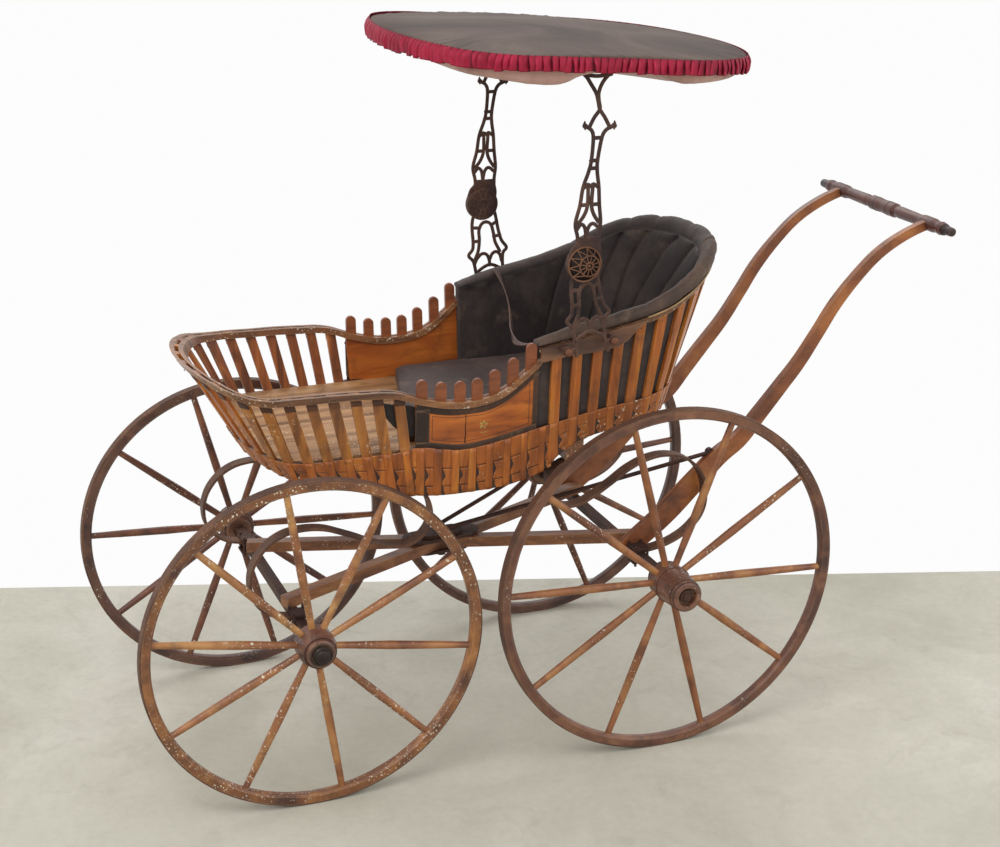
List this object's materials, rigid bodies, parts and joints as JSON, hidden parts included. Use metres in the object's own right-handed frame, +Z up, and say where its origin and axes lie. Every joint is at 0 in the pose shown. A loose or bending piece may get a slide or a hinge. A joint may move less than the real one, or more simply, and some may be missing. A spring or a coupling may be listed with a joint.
{
  "type": "wooden baby carriage",
  "caption": "Slatted wooden baby carriage on large spoked wheels with scroll springs, a curved push handle and a tilting parasol canopy over a padded seat.",
  "frame": {"origin": "on the floor, under the middle of the overall bounding box", "axes": "+X towards the foot end, away from the push handle; +Y to the carriage's left; +Z up"},
  "size_m": [1.573, 0.77, 1.299],
  "materials": {
    "tyre_iron": "rusty worn iron band",
    "wheel_paint": "worn dark red-brown paint over wood",
    "old_iron": "rusty brown-black iron",
    "standard_iron": "dark japanned iron, worn",
    "dark_wood": "dark red-brown stain, satin",
    "plain_wood": "plain old pine",
    "amber_wood": "amber varnish, satin",
    "panel_wood": "amber varnish with a leather edging",
    "leather": "worn dark leather",
    "cushion_cloth": "worn dark leather cloth",
    "canopy_cloth": "dark taupe cloth",
    "ruffle_cloth": "crimson pleated cloth",
    "lining_cloth": "pale pink cloth"
  },
  "bodies": {
    "carriage": {"arm_boards": "amber_wood", "back_lining": "leather", "canopy_brackets": "standard_iron", "cross_plate": "old_iron", "floor_bearers": "plain_wood", "floor_boards": "plain_wood", "foot_slats_front": "amber_wood", "foot_slats_left": "amber_wood", "foot_slats_right": "amber_wood", "front_axle": "old_iron", "front_springs": "old_iron", "handle_arms": "dark_wood", "handle_bar": "dark_wood", "handle_braces": "old_iron", "leather_flap": "leather", "rail_inner": "amber_wood", "rail_outer": "amber_wood", "reach_left": "dark_wood", "reach_right": "dark_wood", "rear_axle": "old_iron", "rear_springs": "old_iron", "rim_pad": "leather", "seat_cushion": "cushion_cloth", "seat_strap": "leather", "side_panels": "panel_wood", "skirt": "amber_wood", "spring_clips": "old_iron", "tub_rim": "amber_wood", "tub_slats": "amber_wood"},
    "front_left_wheel": {"front_left_tyre": "tyre_iron", "front_left_rim": "wheel_paint", "front_left_spokes": "wheel_paint", "front_left_hub": "wheel_paint"},
    "front_right_wheel": {"front_right_tyre": "tyre_iron", "front_right_rim": "wheel_paint", "front_right_spokes": "wheel_paint", "front_right_hub": "wheel_paint"},
    "rear_left_wheel": {"rear_left_tyre": "tyre_iron", "rear_left_rim": "wheel_paint", "rear_left_spokes": "wheel_paint", "rear_left_hub": "wheel_paint"},
    "rear_right_wheel": {"rear_right_tyre": "tyre_iron", "rear_right_rim": "wheel_paint", "rear_right_spokes": "wheel_paint", "rear_right_hub": "wheel_paint"},
    "canopy": {"canopy_standards": "standard_iron", "canopy_frame": "plain_wood", "canopy_cover": "canopy_cloth", "canopy_ruffle": "ruffle_cloth", "canopy_lining": "lining_cloth"}
  },
  "joints": [
    {"name": "front_left_spin", "type": "hinge", "parent": "carriage", "child": "front_left_wheel", "pos_m": [0.484, 0.284, 0.3025], "axis": [0, 1, 0], "continuous": true},
    {"name": "front_right_spin", "type": "hinge", "parent": "carriage", "child": "front_right_wheel", "pos_m": [0.484, -0.284, 0.3025], "axis": [0, 1, 0], "continuous": true},
    {"name": "rear_left_spin", "type": "hinge", "parent": "carriage", "child": "rear_left_wheel", "pos_m": [-0.174, 0.309, 0.33], "axis": [0, 1, 0], "continuous": true},
    {"name": "rear_right_spin", "type": "hinge", "parent": "carriage", "child": "rear_right_wheel", "pos_m": [-0.174, -0.309, 0.33], "axis": [0, 1, 0], "continuous": true},
    {"name": "canopy_tilt", "type": "hinge", "parent": "carriage", "child": "canopy", "pos_m": [-0.0173, 0, 0.9204], "axis": [0, 1, 0], "range_deg": [-30, 30]}
  ]
}
